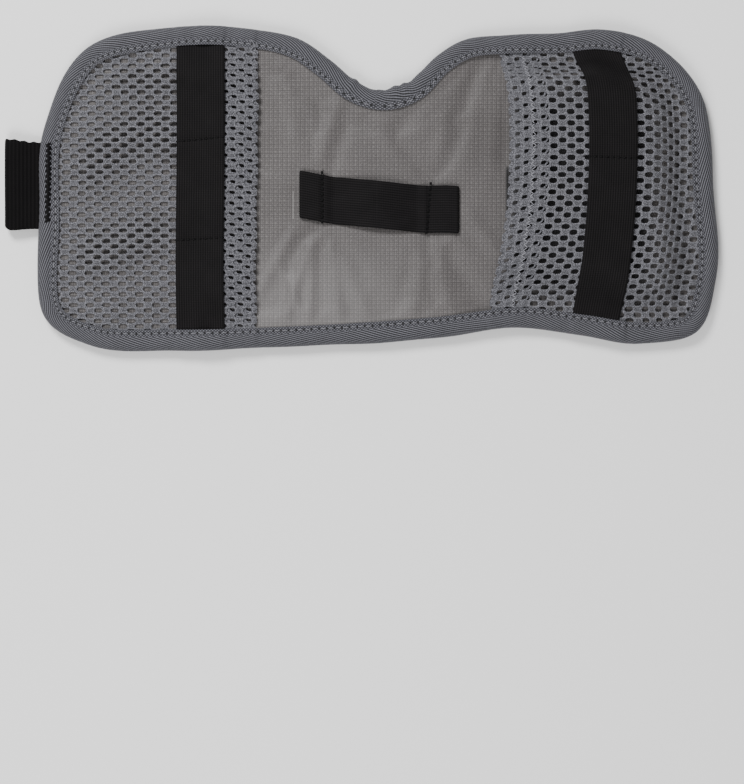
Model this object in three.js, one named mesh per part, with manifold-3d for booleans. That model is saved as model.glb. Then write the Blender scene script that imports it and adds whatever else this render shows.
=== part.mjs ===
// A folding first-aid wrap: two padded leaves on a narrow spine, bound round the edge with twill tape.
// It lies open and flat, lining up. +X runs from the left leaf to the right one, +Y towards the
// notched edge and +Z up, in millimetres. The origin is the middle of the spine's outer face.
import * as THREE from "three";
import { mergeVertices } from "three/addons/utils/BufferGeometryUtils.js";
import Module from "manifold-3d";

const wasm = await Module();
wasm.setup();

// ---------------------------------------------------------------- driving dimensions

const GAP = 0.3; // clear space between two layers that are sewn together
const SHELL_T = 0.6; // outer cloth
const FOAM_T = 2.2; // foam sheet
const LINING_T = 0.5; // ripstop lining
const MESH_T = 1; // spacer mesh
const TAPE_T = 0.8; // binding tape
const ELASTIC_T = 1.2; // woven elastic and webbing
const THREAD_T = 0.5; // sewing thread
const SEAM_CLEAR = 0.05; // between the binding and the thread that lies on it
const ROW_CLEAR = 0.1; // between the holding loop and its thread
const BARTACK_CLEAR = 1; // the pull loop's zigzag lies over the binding's seam

const TAPE_W = 10.5; // how far the binding reaches in from the outer edge
const SEAM_INSET = 7.6; // where the binding's seam runs
const SEAM_W = 0.7;

const SPINE_HALF = 19; // from the middle to each fold axis
const SPINE_PANEL_HALF = 18; // half the width of the stiff part of the spine
const FOLD_SLACK = 7.5; // soft cloth between a fold axis and the stiff part of its leaf

const LEFT_MOUTH = -56; // the left pocket's open edge
const POCKET_END = 165; // a pocket is drawn out to here, and cut to the pattern piece
const POCKET_HALF_DEPTH = 80;
const POCKET_STEPS = [16, 22]; // straight stretches along a pocket and up it
const HEM_W = 15; // the folded hem along a pocket's open edge
const HEM_FADE = 6; // over what distance from the binding it comes to its full thickness
const LEFT_RISE = 4.6; // how far each pocket stands off its lining
const RIGHT_RISE = 9.5;
const FLAT_RIM = 4; // how far it stays flat beside the binding
const LEFT_FADE = 22; // over what distance it rises from there
const RIGHT_FADE = 26;

const BAND_W = 22.6; // elastic bands
const BAND_X = -82.7; // middle of the left band
const BAND_END = 64.5; // half its length between the bindings
const BAND_ARCH = 5; // how far a loop stands off the mesh
const BAND_GAP = 1; // between a band and the mesh under it
const ARCH_STEPS = 8; // straight stretches in each loop
const BAND_STEPS = 4; // and across a band
const ROW_FLAT = 1.5; // flat stretch on each side of a seam
const LEFT_ROWS = [-24, 23]; // seams that divide the left band into three loops
const RIGHT_ROW = 13.4; // the seam that divides the right band into two
const RIGHT_BAND_CUT = 5; // how far short of its middle line's ends the right band stops

const LOOP_LENGTH = 73; // the elastic loop over the spine
const LOOP_Y = -6.5;
const LOOP_TILT = -0.1;
const LOOP_ARCH = 5.2;
const LOOP_ARCH_HALF = 11.5;
const ROW_OVERHANG = 0.8; // its seams run past both edges

const TAB_Y = 1.2; // pull loop on the left edge
const TAB_W = 40;
const TAB_PIVOT = -161.6; // where it bends, just outside the binding
const TAB_TIP = -175.6;
const TAB_RADIUS = 4; // of its rounded outer end
const BARTACK_X = -156; // the dense zigzag seam that holds it in the binding
const BARTACK_W = 3.5;

// The pattern piece's edge, clockwise from the middle of the left edge.
const EDGE = [
  [-159, -15], [-157, 30], [-137.5, 65.6], [-103, 75.3], // left edge and its upper corner
  [-66, 76.3], [-38, 70.8], [-22, 60.4], [-9, 49.6], [3, 46.2], // shoulder, down to the notch
  [15, 49.7], [28, 62.5], [42, 70.6], // and up to the other shoulder
  [62, 72.8], [84, 73], [106, 74.6], [133, 67], [153.6, 43.5], // upper right corner
  [158.3, 0], [160.3, -42], [151, -67.5], [124, -72.8], // right edge and its lower corner
  [97, -69.3], [68, -65.9], [28, -70.3], [-30, -74.2], [-95, -76.2], // lower edge
  [-136, -74], [-157, -60.5], // lower left corner
];
const EDGE_STEPS = 110;

// The right pocket's mouth and the middle of its band, from the notched edge down.
const RIGHT_MOUTH = [[58.5, 66], [62, 30], [61, -8], [52, -62]];
const RIGHT_BAND = [[103, 65], [109.5, 40], [110, 12], [107.5, -28], [102, -61.5]];

// ---------------------------------------------------------------- heights of the layers

const SHELL_RIM = TAPE_T + GAP;
const FOAM_LOW = SHELL_T + GAP;
const FOAM_RIM = SHELL_RIM + SHELL_T + GAP;
const FOAM_TOP = FOAM_RIM + FOAM_T;
const LINING_LOW = FOAM_TOP + GAP;
const LINING_TOP = LINING_LOW + LINING_T;
const MESH_LOW = LINING_TOP + GAP;
const MESH_TOP = MESH_LOW + MESH_T;
const TAPE_TOP = MESH_TOP + GAP + TAPE_T;

// ---------------------------------------------------------------- materials

const cloth = (color, roughness) =>
  new THREE.MeshStandardMaterial({ color, roughness, metalness: 0 });
const SHELL = cloth(0x4b4d52, 0.85);
const FOAM = cloth(0xb9b9b4, 0.95);
const LINING = cloth(0x87827e, 0.6);
const MESH = cloth(0x7e8187, 0.85);
const TAPE = cloth(0x5f6168, 0.8);
const ELASTIC = cloth(0x1b1b1c, 0.75);
const THREAD = cloth(0x8c8e94, 0.7);
const BLACK_THREAD = cloth(0x0e0e0f, 0.7);

// ---------------------------------------------------------------- shape helpers

// A closed three.js geometry as a manifold-3d solid.
function solidOf(geometry) {
  const bare = geometry.clone();
  for (const extra of ["normal", "uv"]) bare.deleteAttribute(extra);
  const merged = mergeVertices(bare, 1e-4);
  return new wasm.Manifold(
    new wasm.Mesh({
      numProp: 3,
      vertProperties: merged.attributes.position.array,
      triVerts: new Uint32Array(merged.index.array),
    }),
  );
}

// The other way: a solid's vertices and triangles as a three.js geometry.
function geometryOf(solid) {
  const { numProp, numVert, vertProperties, triVerts } = solid.getMesh();
  const position = new Float32Array(numVert * 3);
  for (let i = 0; i < numVert; i++)
    position.set(vertProperties.subarray(i * numProp, i * numProp + 3), i * 3);
  return new THREE.BufferGeometry()
    .setAttribute("position", new THREE.BufferAttribute(position, 3))
    .setIndex(new THREE.BufferAttribute(triVerts, 1));
}

// A flat plate of a shape, between two heights.
function plate(shape, low, high) {
  return new THREE.ExtrudeGeometry(shape, {
    depth: high - low,
    bevelEnabled: false,
    curveSegments: 8,
  }).translate(0, 0, low);
}

function block(xLow, xHigh, yLow, yHigh, zLow, zHigh) {
  return new THREE.BoxGeometry(xHigh - xLow, yHigh - yLow, zHigh - zLow).translate(
    (xLow + xHigh) / 2,
    (yLow + yHigh) / 2,
    (zLow + zHigh) / 2,
  );
}

// A slab of cloth bent over a surface: place(u, v) gives its underside, thickness(u, v) how thick it is.
function bentSlab(uSteps, vSteps, place, thickness) {
  const slab = new THREE.BoxGeometry(1, 1, 1, uSteps, vSteps, 1);
  const position = slab.attributes.position;
  for (let i = 0; i < position.count; i++) {
    const u = position.getX(i) + 0.5;
    const v = position.getY(i) + 0.5;
    const up = position.getZ(i) + 0.5;
    const [x, y, z] = place(u, v);
    position.setXYZ(i, x, y, z + up * thickness(u, v));
  }
  return slab;
}

const smooth = (t) => {
  const c = THREE.MathUtils.clamp(t, 0, 1);
  return c * c * (3 - 2 * c);
};

// ---------------------------------------------------------------- the edge and its insets

const edgeCurve = new THREE.CatmullRomCurve3(
  EDGE.map(([x, y]) => new THREE.Vector3(x, y, 0)),
  true,
  "centripetal",
);
const edgePoints = edgeCurve.getSpacedPoints(EDGE_STEPS).slice(0, EDGE_STEPS);
const inwards = edgePoints.map((_, i) => {
  const before = edgePoints[(i + EDGE_STEPS - 1) % EDGE_STEPS];
  const after = edgePoints[(i + 1) % EDGE_STEPS];
  const along = after.clone().sub(before).normalize();
  return new THREE.Vector3(along.y, -along.x, 0);
});

// The pattern piece, cut back from its edge by an inset.
const pattern = (inset) =>
  new THREE.Shape(
    edgePoints.map((p, i) => {
      const q = p.clone().addScaledVector(inwards[i], inset);
      return new THREE.Vector2(q.x, q.y);
    }),
  );

const patternPlate = (inset, low, high) => solidOf(plate(pattern(inset), low, high));

// How far a place on the pattern is from its edge.
function distanceFromEdge(x, y) {
  const place = new THREE.Vector3(x, y, 0);
  const side = new THREE.Line3();
  const foot = new THREE.Vector3();
  const distances = edgePoints.map((p, i) => {
    side.set(p, edgePoints[(i + 1) % EDGE_STEPS]);
    return side.closestPointToPoint(place, true, foot).distanceTo(place);
  });
  return Math.min(...distances);
}

// ---------------------------------------------------------------- the three zones

const FAR = 200;
const HIGH = 60;
const STIFF = SPINE_HALF + FOLD_SLACK;
const zoneBox = (xLow, xHigh, yLow = -FAR, yHigh = FAR) =>
  solidOf(block(xLow, xHigh, yLow, yHigh, -HIGH, HIGH));
const LEFT_ZONE = zoneBox(-FAR, -STIFF);
const RIGHT_ZONE = zoneBox(STIFF, FAR);
const SPINE_ZONE = zoneBox(-SPINE_PANEL_HALF, SPINE_PANEL_HALF);
const SPINE_UPPER = zoneBox(-SPINE_PANEL_HALF, SPINE_PANEL_HALF, 0, FAR);
const SPINE_LOWER = zoneBox(-SPINE_PANEL_HALF, SPINE_PANEL_HALF, -FAR, 0);

// ---------------------------------------------------------------- whole layers

// The outer cloth is a shallow pan: its rim lies in the binding, and its middle is level with it.
function shellLayer() {
  const rim = patternPlate(TAPE_T + GAP, SHELL_RIM, SHELL_RIM + SHELL_T);
  const pan = patternPlate(TAPE_W + GAP, 0, SHELL_RIM + SHELL_T);
  const hollow = patternPlate(TAPE_W + GAP + SHELL_T, SHELL_T, HIGH);
  return rim.add(pan).subtract(hollow);
}

function foamLayer() {
  const rim = patternPlate(TAPE_T + 2 * GAP, FOAM_RIM, FOAM_TOP);
  const middle = patternPlate(TAPE_W + SHELL_T + 2 * GAP, FOAM_LOW, FOAM_TOP);
  return rim.add(middle);
}

const liningLayer = () => patternPlate(TAPE_T + GAP, LINING_LOW, LINING_TOP);

// The tape is folded round the edge, so its section is a U.
function bindingLayer() {
  const folded = patternPlate(0, 0, TAPE_TOP);
  const channel = patternPlate(TAPE_T, TAPE_T, TAPE_TOP - TAPE_T);
  const window = patternPlate(TAPE_W, -HIGH, HIGH);
  return folded.subtract(channel).subtract(window);
}

function seamLayer() {
  const low = TAPE_TOP + SEAM_CLEAR;
  const outer = patternPlate(SEAM_INSET, low, low + THREAD_T);
  const inner = patternPlate(SEAM_INSET + SEAM_W, -HIGH, HIGH);
  return outer.subtract(inner);
}

// ---------------------------------------------------------------- pockets and bands

// How much of a height that fades in from the binding is reached at a place.
const fadeIn = (x, y, over) => smooth((distanceFromEdge(x, y) - TAPE_W - FLAT_RIM) / over);
const leftPocketTop = (x, y) => MESH_TOP + LEFT_RISE * fadeIn(x, y, LEFT_FADE);
const rightPocketTop = (x, y) => MESH_TOP + RIGHT_RISE * fadeIn(x, y, RIGHT_FADE);

const mouthCurve = new THREE.SplineCurve(RIGHT_MOUTH.map(([x, y]) => new THREE.Vector2(x, y)));
const bandCurve = new THREE.SplineCurve(RIGHT_BAND.map(([x, y]) => new THREE.Vector2(x, y)));

// A pocket's mesh, from its mouth at u = 0 to the leaf's outer edge at u = 1, doubled at the hem.
function pocket(mouthAt, outerX, topAt) {
  const inward = (u) => (outerX < 0 ? 1 - u : u);
  const place = (u, v) => {
    const [mouthX, y] = mouthAt(v);
    const x = THREE.MathUtils.lerp(mouthX, outerX, inward(u));
    return [x, y, topAt(x, y) - MESH_T];
  };
  const [nearX] = mouthAt(0.5);
  const hemShare = HEM_W / Math.abs(outerX - nearX);
  const thickness = (u, v) => {
    const [x, y] = place(u, v);
    const hem = inward(u) < hemShare ? fadeIn(x, y, HEM_FADE) : 0;
    return MESH_T * (1 + hem);
  };
  const sheet = solidOf(bentSlab(...POCKET_STEPS, place, thickness));
  return sheet.intersect(patternPlate(TAPE_T + GAP, -HIGH, HIGH));
}

function leftPocket() {
  const mouthAt = (v) => [LEFT_MOUTH, (v - 0.5) * 2 * POCKET_HALF_DEPTH];
  return pocket(mouthAt, -POCKET_END, leftPocketTop);
}

function rightPocket() {
  const mouthAt = (v) => {
    const y = (v - 0.5) * 2 * POCKET_HALF_DEPTH;
    const [first, last] = [RIGHT_MOUTH[0][1], RIGHT_MOUTH.at(-1)[1]];
    const along = THREE.MathUtils.clamp((first - y) / (first - last), 0, 1);
    return [mouthCurve.getPoint(along).x, y];
  };
  return pocket(mouthAt, POCKET_END, rightPocketTop);
}

// The places along a band where it bends: flat by each stop, and arched between two of them.
function stationsAlong(stops) {
  const stations = [[stops[0], 0]];
  for (let i = 0; i + 1 < stops.length; i++) {
    const [from, to] = [stops[i] + ROW_FLAT, stops[i + 1] - ROW_FLAT];
    for (let step = 0; step <= ARCH_STEPS; step++) {
      const share = step / ARCH_STEPS;
      stations.push([THREE.MathUtils.lerp(from, to, share), BAND_ARCH * Math.sin(Math.PI * share)]);
    }
  }
  stations.push([stops.at(-1), 0]);
  return stations;
}

// A strip of elastic up a leaf, with its middle line given by centreAt(y).
function band(centreAt, topAt, stops) {
  const stations = stationsAlong(stops);
  const place = (u, v) => {
    const [y, arch] = stations[Math.round(v * (stations.length - 1))];
    const x = centreAt(y) + (u - 0.5) * BAND_W;
    return [x, y, topAt(x, y) + BAND_GAP + arch];
  };
  return bentSlab(BAND_STEPS, stations.length - 1, place, () => ELASTIC_T);
}

// A row of stitches over a band, at one height up the leaf.
function bandRow(middleX, y, topAt) {
  const place = (u, v) => {
    const x = middleX + (u - 0.5) * BAND_W;
    return [x, y + (v - 0.5) * SEAM_W, topAt(x, y) + BAND_GAP + ELASTIC_T + GAP];
  };
  return bentSlab(BAND_STEPS, 1, place, () => THREAD_T);
}

const leftBand = () =>
  band(() => BAND_X, leftPocketTop, [-BAND_END, ...LEFT_ROWS, BAND_END]);

const [rightBandTop, rightBandFoot] = [RIGHT_BAND[0][1], RIGHT_BAND.at(-1)[1]];
const rightBandCentre = (y) =>
  bandCurve.getPoint((rightBandTop - y) / (rightBandTop - rightBandFoot)).x;

function rightBand() {
  const stops = [rightBandFoot + RIGHT_BAND_CUT, RIGHT_ROW, rightBandTop - RIGHT_BAND_CUT];
  return band(rightBandCentre, rightPocketTop, stops);
}

// ---------------------------------------------------------------- the loop over the spine

// A piece of the holding loop between two places along it. It stands up over the spine's middle.
function loopPiece(from, to, steps) {
  const place = (u, v) => {
    const x = THREE.MathUtils.lerp(from, to, u);
    const share = Math.min(1, Math.abs(x) / LOOP_ARCH_HALF);
    const arch = LOOP_ARCH * Math.cos((share * Math.PI) / 2) ** 2;
    return [x, LOOP_Y + x * LOOP_TILT + (v - 0.5) * BAND_W, LINING_TOP + GAP + arch];
  };
  return bentSlab(steps, 1, place, () => ELASTIC_T);
}

// The row of stitches that holds one end of it down.
function loopRow(x) {
  const low = LINING_TOP + GAP + ELASTIC_T + ROW_CLEAR;
  const middle = LOOP_Y + x * LOOP_TILT;
  const half = BAND_W / 2 + ROW_OVERHANG;
  return block(x - SEAM_W / 2, x + SEAM_W / 2, middle - half, middle + half, low, low + THREAD_T);
}

// ---------------------------------------------------------------- the pull loop

// Webbing folded back on itself, seen along Y: both ends meet at the pivot and the tip is round.
function teardrop(root, halfRoot, tip, radius) {
  const outline = new THREE.Shape();
  outline.moveTo(root, -halfRoot);
  outline.lineTo(root, halfRoot);
  outline.lineTo(tip + 2 * radius, radius);
  outline.absarc(tip + radius, 0, radius, Math.PI / 2, (3 * Math.PI) / 2);
  outline.lineTo(tip + 2 * radius, -radius);
  return outline;
}

function pullLoop() {
  const folded = teardrop(TAB_PIVOT, ELASTIC_T, TAB_TIP, TAB_RADIUS);
  const [root, tip] = [TAB_PIVOT - 2 * ELASTIC_T, TAB_TIP + ELASTIC_T];
  folded.holes.push(teardrop(root, GAP, tip, TAB_RADIUS - ELASTIC_T));
  return plate(folded, -TAB_W / 2, TAB_W / 2)
    .rotateX(Math.PI / 2)
    .translate(0, TAB_Y, TAB_RADIUS + GAP);
}

function pullLoopBartack() {
  const low = TAPE_TOP + BARTACK_CLEAR;
  const [near, far] = [TAB_Y - TAB_W / 2, TAB_Y + TAB_W / 2];
  return block(BARTACK_X, BARTACK_X + BARTACK_W, near, far, low, low + THREAD_T);
}

// ---------------------------------------------------------------- assembly

const wrap = new THREE.Group();

function add(name, shape, material) {
  const geometry = shape.isBufferGeometry ? shape : geometryOf(shape);
  const piece = new THREE.Mesh(geometry, material);
  piece.name = name;
  wrap.add(piece);
}

// The layers that every zone has, cut from the whole ones.
const layers = {
  shell: [shellLayer(), SHELL],
  foam: [foamLayer(), FOAM],
  lining: [liningLayer(), LINING],
};
const binding = bindingLayer();
const seam = seamLayer();

for (const [name, [whole, material]] of Object.entries(layers)) {
  add(`left_${name}`, whole.intersect(LEFT_ZONE), material);
  add(`spine_${name}`, whole.intersect(SPINE_ZONE), material);
  add(`right_${name}`, whole.intersect(RIGHT_ZONE), material);
}

for (const [name, whole, material] of [["binding", binding, TAPE], ["seam", seam, THREAD]]) {
  add(`left_${name}`, whole.intersect(LEFT_ZONE), material);
  add(`spine_${name}_notch`, whole.intersect(SPINE_UPPER), material);
  add(`spine_${name}_foot`, whole.intersect(SPINE_LOWER), material);
  add(`right_${name}`, whole.intersect(RIGHT_ZONE), material);
}

add("left_mesh_pocket", leftPocket(), MESH);
add("right_mesh_pocket", rightPocket(), MESH);
add("left_band", leftBand(), ELASTIC);
add("right_band", rightBand(), ELASTIC);
add("left_band_row_lower", bandRow(BAND_X, LEFT_ROWS[0], leftPocketTop), BLACK_THREAD);
add("left_band_row_upper", bandRow(BAND_X, LEFT_ROWS[1], leftPocketTop), BLACK_THREAD);
add("right_band_row", bandRow(rightBandCentre(RIGHT_ROW), RIGHT_ROW, rightPocketTop), BLACK_THREAD);

const loopEnd = LOOP_LENGTH / 2;
const loopBreak = STIFF + GAP;
const loopRowX = loopBreak + SEAM_W;
add("holding_loop", loopPiece(-SPINE_PANEL_HALF, SPINE_PANEL_HALF, 24), ELASTIC);
add("holding_loop_end_left", loopPiece(-loopEnd, -loopBreak, 2), ELASTIC);
add("holding_loop_end_right", loopPiece(loopBreak, loopEnd, 2), ELASTIC);
add("holding_loop_row_left", loopRow(-loopRowX), BLACK_THREAD);
add("holding_loop_row_right", loopRow(loopRowX), BLACK_THREAD);

add("pull_loop", pullLoop(), ELASTIC);
add("pull_loop_bartack", pullLoopBartack(), BLACK_THREAD);

export default wrap;
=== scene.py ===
"""The looks of a folding first-aid pouch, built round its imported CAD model.

The pouch lies open, lining up: +X runs from the left leaf to the right one, +Y towards the notch
and +Z up. Sizes are in millimetres, and MM turns them into Blender's metres at the very end.
"""
import math

import bpy
import numpy as np
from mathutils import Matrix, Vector


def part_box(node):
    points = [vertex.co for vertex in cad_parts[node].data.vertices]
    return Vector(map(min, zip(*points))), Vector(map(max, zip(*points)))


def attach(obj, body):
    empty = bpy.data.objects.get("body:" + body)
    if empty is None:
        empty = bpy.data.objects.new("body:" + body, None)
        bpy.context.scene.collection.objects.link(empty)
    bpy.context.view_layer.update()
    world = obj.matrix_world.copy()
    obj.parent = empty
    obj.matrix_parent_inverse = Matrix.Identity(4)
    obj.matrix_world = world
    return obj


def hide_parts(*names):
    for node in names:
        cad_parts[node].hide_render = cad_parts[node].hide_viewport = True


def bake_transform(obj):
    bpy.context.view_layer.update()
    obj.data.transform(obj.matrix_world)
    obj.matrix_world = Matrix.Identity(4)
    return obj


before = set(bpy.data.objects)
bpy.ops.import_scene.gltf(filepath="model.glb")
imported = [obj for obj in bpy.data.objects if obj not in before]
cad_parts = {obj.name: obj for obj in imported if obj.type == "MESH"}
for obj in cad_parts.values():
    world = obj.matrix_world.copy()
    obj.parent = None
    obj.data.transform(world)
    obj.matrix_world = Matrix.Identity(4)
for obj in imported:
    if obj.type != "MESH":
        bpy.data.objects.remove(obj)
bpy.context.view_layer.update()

MM = 0.001
TAU = 2 * math.pi
SIDES = (("left", -1), ("right", 1))


def corners(node):
    """A node's lowest and highest corners."""
    return np.array(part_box(node)) / MM


# ---- driving sizes

LINING_TOP = corners("spine_lining")[1, 2]
SPINE_STIFF = corners("spine_foam")[1, 0]
LEAF_STIFF = corners("right_foam")[0, 0]
REACH_X, REACH_Y = 162, 80  # the pouch lies within this each way, all but its pull loop

SHELL_THICKNESS = 0.6
LINING_THICKNESS = 0.4
NET_HALF = 0.36  # half the thickness of the mesh
HEM_FOLD = 0.42  # radius of the fold along a pocket's mouth
HEM_WIDTH = 15
NET_CLEAR = 0.8  # from the lining to the middle of the mesh on it
TAPE_WIDTH = 9  # about how far in from the edge the tape reaches

# The mesh's holes are staggered. For each pocket: half the pitch across, the pitch of the rows, and
# half the length and the width of a hole.
LATTICE = {"left": (3.9, 2.5, 2.0, 1.12), "right": (4.05, 2.68, 1.85, 1.25)}

BAND_HALF = 11.3
RIB_PITCH = 1.13

LEFT_MOUTH_X = -56.4
LEFT_BAND_X = -83
LEFT_BAND_ROWS = [(-24, 0.055), (22.6, 0.09)]  # height up the leaf and slope of each seam
RIGHT_BAND_ROWS = [(13.3, -0.045)]

# The pattern piece's edge, clockwise from the middle of the left edge, as the CAD model has it.
EDGE = [
    (-159, -15), (-157, 30), (-137.5, 65.6), (-103, 75.3),
    (-66, 76.3), (-38, 70.8), (-22, 60.4), (-9, 49.6), (3, 46.2),
    (15, 49.7), (28, 62.5), (42, 70.6),
    (62, 72.8), (84, 73), (106, 74.6), (133, 67), (153.6, 43.5),
    (158.3, 0), (160.3, -42), (151, -67.5), (124, -72.8),
    (97, -69.3), (68, -65.9), (28, -70.3), (-30, -74.2), (-95, -76.2),
    (-136, -74), (-157, -60.5),
]
RIGHT_MOUTH = [
    (58, -80), (53.1, -57.3), (57.5, -30), (60.8, -5.6), (61.8, 20), (61, 42), (57.8, 62.5), (57, 80),
]
RIGHT_BAND = [
    (99, -75), (103.2, -59), (106, -40), (108.6, -15), (109.9, 12), (109.8, 32), (108.6, 48),
    (103.6, 63), (99, 75),
]


# ---- small maths

def smooth(t):
    """0 up to 0, 1 from 1 on, and smooth in between."""
    t = np.clip(t, 0, 1)
    return t * t * (3 - 2 * t)


def bell(t):
    return np.exp(-np.square(t))


def unit(v):
    return v / np.linalg.norm(v, axis=-1, keepdims=True)


def curve_through(points, per_span=60, closed=True):
    """A centripetal Catmull-Rom curve through points, as three.js draws it."""
    p = np.array(points, float)
    n = len(p)
    out = []
    for i in range(n if closed else n - 1):
        near = np.arange(i - 1, i + 3)
        a, b, c, d = p[near % n if closed else np.clip(near, 0, n - 1)]
        da, db, dc = (max(math.sqrt(np.linalg.norm(w - v)), 1e-3) for v, w in ((a, b), (b, c), (c, d)))
        start = ((b - a) / da - (c - a) / (da + db) + (c - b) / db) * db
        end = ((c - b) / db - (d - b) / (db + dc) + (d - c) / dc) * db
        t = np.linspace(0, 1, per_span, endpoint=False)[:, None]
        out.append(
            b * (2 * t**3 - 3 * t**2 + 1)
            + start * (t**3 - 2 * t**2 + t)
            + c * (3 * t**2 - 2 * t**3)
            + end * (t**3 - t**2)
        )
    return np.vstack(out if closed else out + [p[-1:]])


def along(points):
    """The distance along a line of points to each of them."""
    return np.concatenate([[0], np.cumsum(np.linalg.norm(np.diff(points, axis=0), axis=1))])


def on_line(line, distance, s):
    """Each coordinate of a line of points, s along it."""
    return [np.interp(s, distance, column) for column in line.T]


def x_along(points):
    """x as a function of y, on the curve through some points."""
    line = curve_through(points, closed=False)
    return lambda y: np.interp(y, line[:, 1], line[:, 0])


mouth_x = x_along(RIGHT_MOUTH)
right_band_x = x_along(RIGHT_BAND)


def set_all(thing, values):
    for name, value in values.items():
        setattr(thing, name, value)


# ---- the edge

EDGE_STEP = 1.5
EDGE_LINE = curve_through(EDGE)
EDGE_RING = np.vstack([EDGE_LINE, EDGE_LINE[:1]])
EDGE_DISTANCE = along(EDGE_RING)
EDGE_LENGTH = EDGE_DISTANCE[-1]


def edge_point(s):
    """Where the pattern's edge is, s along it, and the direction straight in from it."""
    at, ahead, behind = (
        np.stack(on_line(EDGE_RING, EDGE_DISTANCE, (s + shift) % EDGE_LENGTH), -1)
        for shift in (0, EDGE_STEP, -EDGE_STEP)
    )
    way = unit(ahead - behind)
    return at, np.stack([way[..., 1], -way[..., 0]], -1)


def crossings():
    """How far along the edge it crosses the middle of the spine: at the notch, and at the foot."""
    x = EDGE_LINE[:, 0]
    found = np.nonzero(x * np.roll(x, -1) <= 0)[0]
    return sorted(EDGE_DISTANCE[found] + abs(x[found]))


NOTCH_S, FOOT_S = crossings()

FIELD_STEP = 1.0
FIELD_X = np.arange(-172, 173, FIELD_STEP)
FIELD_Y = np.arange(-90, 91, FIELD_STEP)
FIELD_AT = np.meshgrid(FIELD_X, FIELD_Y, indexing="ij")


def distance_field():
    """How far inside the edge each place of a grid is; negative outside it."""
    p = np.stack([at.ravel() for at in FIELD_AT], -1)
    best = np.full(len(p), 1e9)
    sign = np.ones(len(p))
    for q, n in zip(*edge_point(np.arange(0, EDGE_LENGTH, EDGE_STEP))):
        d = np.linalg.norm(p - q, axis=1)
        nearer = d < best
        best = np.where(nearer, d, best)
        sign = np.where(nearer, np.sign((p - q) @ n), sign)
    return (best * sign).reshape(FIELD_AT[0].shape)


def sample(field, x, y):
    """A grid's value at any places."""
    fx = np.clip((np.asarray(x) - FIELD_X[0]) / FIELD_STEP, 0, len(FIELD_X) - 1.001)
    fy = np.clip((np.asarray(y) - FIELD_Y[0]) / FIELD_STEP, 0, len(FIELD_Y) - 1.001)
    ix, iy = fx.astype(int), fy.astype(int)
    tx, ty = fx - ix, fy - iy
    low = field[ix, iy] * (1 - tx) + field[ix + 1, iy] * tx
    high = field[ix, iy + 1] * (1 - tx) + field[ix + 1, iy + 1] * tx
    return low * (1 - ty) + high * ty


EDGE_FIELD = distance_field()


def inset(x, y):
    return sample(EDGE_FIELD, x, y)


# ---- heights

def crease(x, y, start, end, width, height):
    """A soft fold in cloth from start to end, highest in the middle of its length."""
    (ax, ay), (bx, by) = start, end
    dx, dy = bx - ax, by - ay
    length = math.hypot(dx, dy)
    share = ((x - ax) * dx + (y - ay) * dy) / length**2
    off = ((x - ax) * dy - (y - ay) * dx) / length
    return height * bell(off / width) * smooth(share / 0.35) * smooth((1 - share) / 0.35)


# Along the binding the lining is pulled up to the tape: how far, across the pouch.
RIM_X = (-66, -50, 36, 50)
RIM_RISE = (0.4, 1.5, 1.5, 0.1)
PAD_RISE = 0.5
FOLD_SHARE = 1.1
DIMPLE_DEPTH = 0.45

# Each fold in the lining: where it starts and ends, how wide it is and how high.
LINING_CREASES = [
    ((-27, -10), (-47, -74), 3.2, 1.3), ((-29, -14), (-33, -78), 2.6, 1.0),
    ((-24, -12), (-16, -80), 3.6, 1.1), ((-32, -8), (-62, -60), 3.0, 0.9),
    ((-22, -14), (2, -82), 4.5, 0.9), ((24, -16), (14, -78), 4.0, 0.8),
    ((26, -14), (36, -72), 4.4, 0.9), ((-30, 2), (-14, 54), 4.0, 0.9),
    ((-38, 4), (-44, 60), 4.5, 0.6), ((26, 2), (40, 62), 5.0, 0.7),
    ((8, 4), (0, 46), 5.0, 0.5), ((-36, -2), (-58, 8), 3.0, 0.5),
    ((38, -6), (62, -36), 4.0, 0.7), ((-48, -30), (-30, -70), 2.4, 0.7),
]
# Each dimple: its middle and its radius.
LINING_DIMPLES = [((-27, -7), 7), ((27, -9), 7), ((46, 44), 12), ((-46, 30), 14), ((40, -50), 14)]


def sewn_height(x, y):
    """The lining's upper face as it was sewn, before it wrinkles. It is quiet under the holding
    loop, and sinks behind the right pocket's mouth."""
    d = inset(x, y)
    gripped = np.interp(x, RIM_X, RIM_RISE) * (1 - smooth((d - TAPE_WIDTH) / 12))
    pad = PAD_RISE * smooth((d - TAPE_WIDTH) / 16)
    folds = sum(crease(x, y, *c) for c in LINING_CREASES)
    dips = sum(DIMPLE_DEPTH * bell(np.hypot(x - cx, y - cy) / r) for (cx, cy), r in LINING_DIMPLES)
    swell = 0.18 * np.sin(x / 9.3 + 1.1 * np.sin(y / 14)) * np.cos(y / 11.7 + 0.8)
    quiet = 1 - 0.75 * smooth((44 - abs(x)) / 12) * smooth((21 - abs(y + 6.5)) / 8)
    by_mouth = 2.8 * bell((x - 62) / 13) * bell((y - 20) / 30)
    relief = pad - dips - by_mouth + (FOLD_SHARE * folds + swell) * quiet
    return LINING_TOP + gripped + relief * smooth((d - 7) / 9)


def lining_height(x, y):
    """The lining's upper face."""
    return sewn_height(x, y) + sample(WRINKLES, x, y)


# Soft folds of the flat left pocket, which run from its outer edge up to the right.
LEFT_POCKET_CREASES = [
    ((-160, -2), (-90, 38), 10, 1.9), ((-160, -38), (-86, -16), 9, 1.7),
    ((-140, 58), (-58, 62), 13, 2.4), ((-150, -70), (-90, -56), 8, 0.8),
    ((-112, 24), (-56, 20), 12, 1.6), ((-80, -60), (-56, -20), 9, 0.9),
    ((-70, -10), (-56, 66), 7, 0.7), ((-152, 44), (-100, 66), 8, 0.9),
]
LEFT_MOUTH_LIFT = 1.1
RIGHT_BULGE = 9.8


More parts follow.
